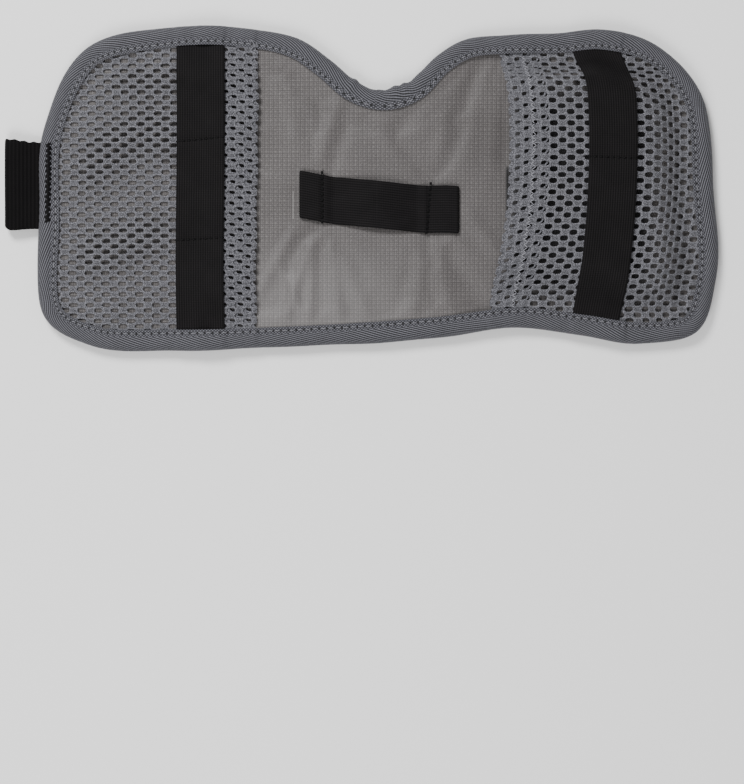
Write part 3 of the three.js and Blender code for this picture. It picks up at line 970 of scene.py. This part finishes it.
def tape_seam(name, side, s_from, s_to):
    """The row of stitches along the binding, each from one of the needle's holes to the next."""
    rng = np.random.default_rng(21 + side)
    first, last = math.ceil(s_from / SEAM_PITCH), int(s_to / SEAM_PITCH)
    hole_s = np.arange(first, last + 1) * SEAM_PITCH

    def at_tape(s):
        at, inward = edge_point(s)
        xy = at + inward * (SEAM_INSET + rng.uniform(-0.22, 0.22, (len(s), 1)))
        z = tape_top(SEAM_INSET) + tape_lump(at[:, 0], at[:, 1]) + 0.1
        return np.column_stack([xy, z])

    starts = at_tape(hole_s[:-1] + rng.uniform(0.3, 0.9, last - first))
    ends = at_tape(hole_s[1:] - rng.uniform(0.3, 0.9, last - first))
    return threads(name, starts, ends, 0.18, GREY_THREAD)


def binding():
    spans = ((FOOT_S, NOTCH_S + EDGE_LENGTH), (NOTCH_S, FOOT_S))
    for (leaf, side), span in zip(SIDES, spans):
        for make_half, piece, kind in ((tape_half, "tape", "binding"), (tape_seam, "stitches", "seam")):
            half = make_half(f"{leaf}_edge_{piece}", side, *span)
            over_fold(half, side, f"{leaf}_{kind}", f"spine_{kind}_notch", f"spine_{kind}_foot")


# ---- the mesh pockets

HEM_SLIP = 0.75  # the hem's two layers don't line up


def unrolled(height_at, start, stop):
    """A table of distance over a surface against distance along its plan."""
    at = np.linspace(start, stop, 400)
    return at, along(np.stack([at, height_at(at)], -1))


def pocket_place(side, mouth, height, plan_u, plan_v):
    """Where the mesh of a pocket lies. u is how far over the cloth from the fold along its mouth, and
    it is negative in the hem, which is turned under; v runs up the leaf."""

    def place(u, v):
        turn = np.clip(-u / HEM_FOLD, 0, math.pi)
        fold = math.pi * HEM_FOLD
        inwards = np.where(u >= 0, plan_u(u), np.where(u > -fold, -HEM_FOLD * np.sin(turn), -u - fold))
        y = plan_v(v) + HEM_SLIP * turn / math.pi
        x = mouth(y) + side * (inwards + HEM_FOLD)
        z = height(x, y) - HEM_FOLD * (1 - np.cos(turn))
        over = np.zeros(x.shape + (3,))
        over[..., 0] = -side
        normal = slope_normal(height, x, y) * np.cos(turn)[..., None] + over * np.sin(turn)[..., None]
        return np.stack([x, y, z], -1), normal

    return place


def hexagon(column, row, long, short):
    """A cell of the staggered lattice, and its hole, each as the same number of points."""
    far = (column**2 + row**2) / (2 * column)
    near = (column**2 - row**2) / (2 * column)
    corners = [(far, 0), (near, row), (-near, row), (-far, 0), (-near, -row), (near, -row)]
    cell = []
    for (ax, ay), (bx, by) in zip(corners, corners[1:] + corners[:1]):
        cell += [(ax + (bx - ax) * k / 3, ay + (by - ay) * k / 3) for k in range(3)]
    turn = np.linspace(0, TAU, len(cell), endpoint=False)
    square = 0.8  # an ellipse at 1, and squarer below it
    across, upward = (np.sign(wave) * np.abs(wave) ** square for wave in (np.cos(turn), np.sin(turn)))
    return np.array(cell), np.stack([long * across, short * upward], -1)


ROWS = 40  # of holes, up and down from the middle of a leaf
NET_MARGIN = 6.5


def cell_middles(lattice, place, u_low, u_high):
    """The middles of the lattice's holes that lie inside the binding."""
    columns = np.arange(math.ceil(u_low / lattice[0]), int(u_high / lattice[0]) + 1)
    column, row = np.meshgrid(columns, np.arange(-ROWS, ROWS + 1), indexing="ij")
    staggered = (column + row) % 2 == 0
    centre = np.stack([column[staggered] * lattice[0], row[staggered] * lattice[1]], -1)
    middle, _ = place(centre[:, 0], centre[:, 1])
    return centre[inset(middle[:, 0], middle[:, 1]) > NET_MARGIN]


RIM_LIFT, BORDER_LIFT, BORDER_DEPTH, RIM_DEPTH = 0.12, 0.22, -0.38, -0.36


def net(name, side, place, lattice, u_low, u_high, seed, material):
    """The knitted mesh, with every hole open. Each cell has a ring of points round its hole, a
    higher one half way, and a border that it shares with the cells beside it; below them are a
    border and a rim again."""
    rng = np.random.default_rng(seed)
    cell, hole = hexagon(*lattice)
    centre = cell_middles(lattice, place, u_low, u_high)[:, None]
    hole = hole * rng.uniform(0.93, 1.06, (len(centre), 1, 2))
    rim = (centre + hole).reshape(-1, 2)
    puff = (centre + hole * 0.55 + cell * 0.45).reshape(-1, 2)
    border = (centre + cell).reshape(-1, 2)
    _, first, corner = np.unique(np.round(border, 2), axis=0, return_index=True, return_inverse=True)
    shared = border[first]
    corner = corner.reshape(-1, len(cell))
    n, m = len(rim), len(shared)
    index = np.arange(n).reshape(-1, len(cell))
    low = 2 * n + m
    rings = [index + low + m, index, index + n, corner + 2 * n]
    rings = [corner + low, *rings]  # from the lower border over the rim to the upper one
    flat = np.vstack([rim, puff, shared, shared, rim])
    heights = (RIM_LIFT, NET_HALF, BORDER_LIFT, BORDER_DEPTH, RIM_DEPTH)
    lift = np.repeat(heights, (n, n, m, m, n))
    point, normal = place(flat[:, 0], flat[:, 1])
    sides = [quads(a, b, np.roll(b, -1, axis=1), np.roll(a, -1, axis=1)) for a, b in zip(rings, rings[1:])]
    start, end = open_edges(corner.ravel(), np.roll(corner, -1, axis=1).ravel(), m)
    walls = quads(start + 2 * n, start + low, end + low, end + 2 * n)
    faces = np.vstack([sides[2], sides[3], sides[1], sides[0], walls])
    if side < 0:
        faces = faces[:, ::-1]
    return make(name, point + normal * lift[:, None], faces.tolist(), flat, material), len(centre)


def pocket(leaf, side, place, reach, seed):
    """A pocket whose mesh reaches so far over its surface from the fold along its mouth."""
    lattice = LATTICE[leaf]
    hem = -HEM_WIDTH - math.pi * HEM_FOLD
    piece, count = net(f"{leaf}_pocket_net", side, place, lattice, hem, reach, seed, NET[leaf])
    on_body(piece, f"{leaf}_leaf", f"{leaf}_mesh_pocket")


HEM_SEAM_U = 10.8
ZIGZAG_PITCH = 1.25
ZIGZAG_HALF = 0.85


def hem_seam():
    """The zigzag that holds the right pocket's hem."""
    v = np.arange(-66, 66, ZIGZAG_PITCH)
    loose = np.random.default_rng(41).uniform(0.4, 1.5, len(v))
    u = HEM_SEAM_U + ZIGZAG_HALF * loose * (-1.0) ** np.arange(len(v))
    point, normal = right_place(u, v)
    point = point + normal * (NET_HALF + 0.05)
    point = point[inset(point[:, 0], point[:, 1]) > TAPE_WIDTH]
    seam = threads("right_hem_stitches", point[:-1], point[1:], 0.17, HEM_THREAD)
    on_body(seam, "right_leaf", "right_mesh_pocket")


def left_mouth(y):
    return LEFT_MOUTH_X + 0.25 * np.sin(y / 5.1) + 0.5 * np.sin(y / 27)


RIGHT_PLAN_X, RIGHT_OVER_X = unrolled(lambda x: right_net_height(x, 0 * x), 60, 170)
RIGHT_PLAN_Y, RIGHT_OVER_Y = unrolled(lambda y: right_net_height(90 + 0 * y, y), -REACH_Y, REACH_Y)
RIGHT_MIDDLE = np.interp(0, RIGHT_PLAN_Y, RIGHT_OVER_Y)


def right_plan_u(u):
    return np.interp(u, RIGHT_OVER_X, RIGHT_PLAN_X) - RIGHT_PLAN_X[0]


def right_plan_v(v):
    return np.interp(v + RIGHT_MIDDLE, RIGHT_OVER_Y, RIGHT_PLAN_Y)


left_place = pocket_place(-1, left_mouth, left_net_height, lambda u: u, lambda v: v)
right_place = pocket_place(1, mouth_x, right_net_height, right_plan_u, right_plan_v)


def pockets():
    pocket("left", -1, left_place, reach=106, seed=11)
    pocket("right", 1, right_place, reach=112, seed=12)
    hem_seam()


# ---- the elastic bands

BEYOND_END = 2  # a band runs this far past its seam under the tape
ROW_PITCH, ROW_STITCH = 2.7, 2.4


def puff_between(y, across, rows, ends, puff):
    """How far a band stands off the mesh between its seams, and how far each seam pulls it down."""
    low, high = ends
    stops = [low + 0 * across] + [at + slope * across for at, slope in rows] + [high + 0 * across]
    lift = np.zeros_like(y)
    for a, b in zip(stops, stops[1:]):
        share = np.clip((y - a) / (b - a), 0, 1)
        lift += puff * np.sin(np.pi * share) ** 0.8
    for stop in stops[1:-1]:
        lift -= 0.32 * bell((y - stop) / 0.9)
    return lift


def band(leaf, centre, height, rows, ends, puff):
    """An elastic band up a leaf, over its pocket. Gives where any place on it lies."""

    def place(across, station):
        x, y = centre(station) + across, station
        squeezed = smooth((inset(x, y) - TAPE_WIDTH) / 5)
        z = height(x, y) + NET_HALF + STRAP_HALF_THICKNESS * (0.5 + 0.55 * squeezed)
        z = z + puff_between(y, across, rows, ends, puff) * squeezed
        return np.stack([x, y, z], -1), slope_normal(height, x, y)

    stations = np.arange(ends[0] - BEYOND_END, ends[1] + BEYOND_END, 0.8)
    piece = strap(f"{leaf}_elastic_band", place, BAND_HALF, BAND_RIBS, stations, ELASTIC)
    on_body(piece, f"{leaf}_leaf", f"{leaf}_band")
    return place


def past_edge(across, half):
    """0 on a band and 1 beside it."""
    return smooth((np.abs(across) - half) / 0.8)


def band_row(name, node, leaf, place, row, overhang=(1.8, 1.8)):
    """A seam across a band, whose thread runs a little past both its edges."""
    at, slope = row
    across = np.linspace(-BAND_HALF - overhang[0], BAND_HALF + overhang[1], 60)
    middle, normal = place(across, at + slope * across)
    above = STRAP_HALF_THICKNESS * (1.2 - 1.5 * past_edge(across, BAND_HALF))
    starts, ends = row_of_stitches(middle + normal * above[:, None], ROW_PITCH, ROW_STITCH)
    on_body(threads(name, starts, ends, THICK_THREAD, BLACK_THREAD), f"{leaf}_leaf", node)


def left_band_x(y):
    return LEFT_BAND_X + 0.3 * np.sin(y / 21)


def bands():
    left = band("left", left_band_x, left_net_height, LEFT_BAND_ROWS, ends=(-65.8, 65.9), puff=0.9)
    for which, row in zip(("lower", "upper"), LEFT_BAND_ROWS):
        band_row(f"left_band_stitches_{which}", f"left_band_row_{which}", "left", left, row)
    right = band("right", right_band_x, right_net_height, RIGHT_BAND_ROWS, ends=(-60, 63.5), puff=0.7)
    band_row("right_band_stitches", "right_band_row", "right", right, RIGHT_BAND_ROWS[0], overhang=(4.7, 1.4))


# ---- the holding loop

LOOP_END = {-1: 35.4, 1: 37.5}
LOOP_SEAM = {-1: 25.8, 1: 24.2}
LOOP_SEAM_LEAN = {-1: 0.0, 1: 0.09}
LOOP_TILT = -0.098
LOOP_Y = -7.8
LOOP_BEND = 1.35  # how far its ends turn back up the cloth
LOOP_HALF = 11.1
LOOP_ARCH = 2.6
LOOP_FOLD = 0.62
LOOP_PITCH, LOOP_STITCH = 2.6, 2.1


def loop_place(side):
    """The elastic over half of the spine. Its station runs from the middle of the spine to its end,
    round the fold there and back under itself."""
    end, seam = LOOP_END[side], LOOP_SEAM[side]

    def place(across, station):
        turn = np.clip((station - end) / LOOP_FOLD, 0, math.pi)
        back = np.maximum(station - end - math.pi * LOOP_FOLD, 0)
        out = np.minimum(station, end) + LOOP_FOLD * np.sin(turn) - back
        x = side * out
        y = LOOP_Y + LOOP_TILT * x + across + LOOP_BEND * smooth((out - 19) / 18)
        arch = LOOP_ARCH * np.cos(np.clip(out / 22, 0, 1) * math.pi / 2) ** 2
        two_layers = 2 * LOOP_FOLD * smooth((out - seam + 6) / 5)
        pressed = 0.4 * bell(out - seam)
        base = lining_height(x, y) + STRAP_HALF_THICKNESS + 0.12
        folded = LOOP_FOLD * (1 + np.cos(turn)) * (turn >= 0.01)
        z = np.where(turn > 3.1, base, base + arch + (two_layers - pressed) * (turn < 0.01) + folded)
        normal = np.stack([side * np.sin(turn), 0 * turn, np.cos(turn)], -1)
        return np.stack([x, y, z], -1), normal

    return place


def loop_half(leaf, side):
    """Half of the holding loop, and the two rows of stitches that hold its folded end."""
    end, seam = LOOP_END[side], LOOP_SEAM[side]
    place = loop_place(side)
    fold = np.linspace(end, end + math.pi * LOOP_FOLD, 9)
    under = np.linspace(fold[-1] + 0.5, fold[-1] + end - seam + 3, 12)
    stations = np.concatenate([np.arange(0, end, 0.5), fold, under])
    half = strap(f"{leaf}_holding_loop", place, LOOP_HALF, BAND_RIBS, stations, ELASTIC, side < 0)
    over_fold(half, side, f"holding_loop_end_{leaf}", "holding_loop")
    across = np.linspace(-LOOP_HALF - 2, LOOP_HALF + 2, 60)
    line, _ = place(across, seam + LOOP_SEAM_LEAN[side] * across)
    line[:, 2] += STRAP_HALF_THICKNESS + 0.15 - 0.9 * past_edge(across, LOOP_HALF)
    seams = [row_of_stitches(line + [shift, 0, 0], LOOP_PITCH, LOOP_STITCH) for shift in (-0.25, 0.3)]
    starts, ends = (np.vstack(pair) for pair in zip(*seams))
    row = threads(f"{leaf}_holding_loop_stitches", starts, ends, THICK_THREAD, BLACK_THREAD)
    over_fold(row, side, f"holding_loop_row_{leaf}")


def holding_loop():
    for leaf, side in SIDES:
        loop_half(leaf, side)


# ---- the pull loop

TAB_ROOT = -156.5
TAB_PIVOT = -161.6
TAB_TIP = -175.4
TAB_RADIUS = 2.1
TAB_LAYER = 0.62
TAB_RIBS = (0.03, 0.9, 90)
TAB_Z = 4.3
TAB_Y = 1.4
TAB_HALF = 20.4


def tab_line():
    """The webbing's middle line in section, from its root over its tip and back."""
    upper = [(TAB_ROOT, TAB_LAYER), (-160, TAB_LAYER), (-165, 1.3), (-170, TAB_RADIUS)]
    round_tip = [
        (TAB_TIP + 0.5 + TAB_RADIUS * (1 - math.sin(a)), TAB_RADIUS * math.cos(a))
        for a in np.linspace(0.25, math.pi - 0.25, 9)
    ]
    lower = [(x, -z) for x, z in reversed(upper)]
    return curve_through(upper + round_tip + lower, 12, closed=False)


def pull_loop():
    """A loop of webbing, wider on one side at its tip, with ribs across it."""
    line = tab_line()
    distance = along(line)
    way = unit(np.gradient(line, axis=0))

    def place(across, station):
        x, z = on_line(line, distance, station)
        wx, wz = on_line(way, distance, station)
        outer = smooth((TAB_PIVOT - x) / 13)
        flare = 2.0 * outer * smooth((across - 12) / 8) + 0.25 * np.sin(x / 0.7) * smooth((across - 17) / 3)
        corner = 1.2 * smooth((TAB_TIP + 2.2 - x) / 2.2) * smooth((-across - 16) / 4)
        y = TAB_Y + across + flare + corner - 0.6 * outer
        wave = 0.35 * np.sin(across / 6.5 + 0.6) * outer
        normal = np.stack([wz, 0 * wz, -wx], -1)
        ribs = 0.1 * np.cos(TAU * station / WEBBING_RIB)
        middle = np.stack([x, y, TAB_Z + z + wave], -1)
        return middle + normal * ribs[..., None], normal

    tab = strap("pull_loop_webbing", place, TAB_HALF, TAB_RIBS, np.arange(0, distance[-1], 0.25), WEBBING)
    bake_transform(tab)
    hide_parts("pull_loop")


BARTACK_X, BARTACK_Y = (-155.8, -152.7), (-16.4, 21.6)
BARTACK_STEP = 1.2
BARTACK_LEAN = 0.016


def bartack():
    """The dense zigzag that holds the pull loop in the binding: wide teeth over a narrower core."""
    starts, ends = [], []
    for shift, narrower in ((0, 0.0), (0.5, 0.15), (0.25, 0.75), (0.75, 0.75)):
        y = np.arange(BARTACK_Y[0] + shift * BARTACK_STEP, BARTACK_Y[1], BARTACK_STEP)
        even = np.arange(len(y)) % 2 == 0
        x = np.where(even, BARTACK_X[0] + narrower, BARTACK_X[1] - narrower)
        x = x + BARTACK_LEAN * (y - BARTACK_Y[1])
        teeth = np.column_stack([x, y, tape_top(inset(x, y)) + tape_lump(x, y) + 0.2])
        starts.append(teeth[:-1])
        ends.append(teeth[1:])
    starts, ends = np.vstack(starts), np.vstack(ends)
    zigzag = threads("pull_loop_bartack_thread", starts, ends, THICK_THREAD, BLACK_THREAD)
    on_body(zigzag, "left_leaf", "pull_loop_bartack")


# ---- the set

CAMERA_PLACE = (-2.35, -95.9, 1031)
LENS, SENSOR = 100, 36
FLOOR_REACH, FLOOR_Z = 3.0, -0.0002  # metres


def make_camera():
    data = bpy.data.cameras.new("camera")
    data.lens, data.sensor_width = LENS, SENSOR
    bpy.context.scene.camera = linked("camera", data, [v * MM for v in CAMERA_PLACE])


def area_light(name, place, size, power):
    data = bpy.data.lights.new(name, "AREA")
    set_all(data, {"shape": "DISK", "size": size, "energy": power})
    light = linked(name, data, place)
    light.rotation_euler = Vector(place).to_track_quat("Z", "Y").to_euler()


def make_lights():
    area_light("key", (-0.45, 0.7, 0.95), 0.45, 17)
    area_light("fill", (-0.3, -0.8, 0.95), 0.7, 11)
    world = bpy.data.worlds.new("studio")
    world.use_nodes = True
    feed(world.node_tree.nodes["Background"], {"Color": (1, 1, 1, 1), "Strength": 0.5})
    bpy.context.scene.world = world


def make_floor():
    mesh = bpy.data.meshes.new("floor")
    square = ((-1, -1), (1, -1), (1, 1), (-1, 1))
    mesh.from_pydata([(FLOOR_REACH * x, FLOOR_REACH * y, FLOOR_Z) for x, y in square], [], [(0, 1, 2, 3)])
    paper, shader = new_material("floor_paper")
    feed(shader, {"Base Color": (0.93, 0.93, 0.93, 1), "Roughness": 0.9})
    mesh.materials.append(paper)
    linked("floor", mesh)


make_camera()
make_lights()
make_floor()
padding()
layers()
binding()
pockets()
bands()
holding_loop()
pull_loop()
bartack()
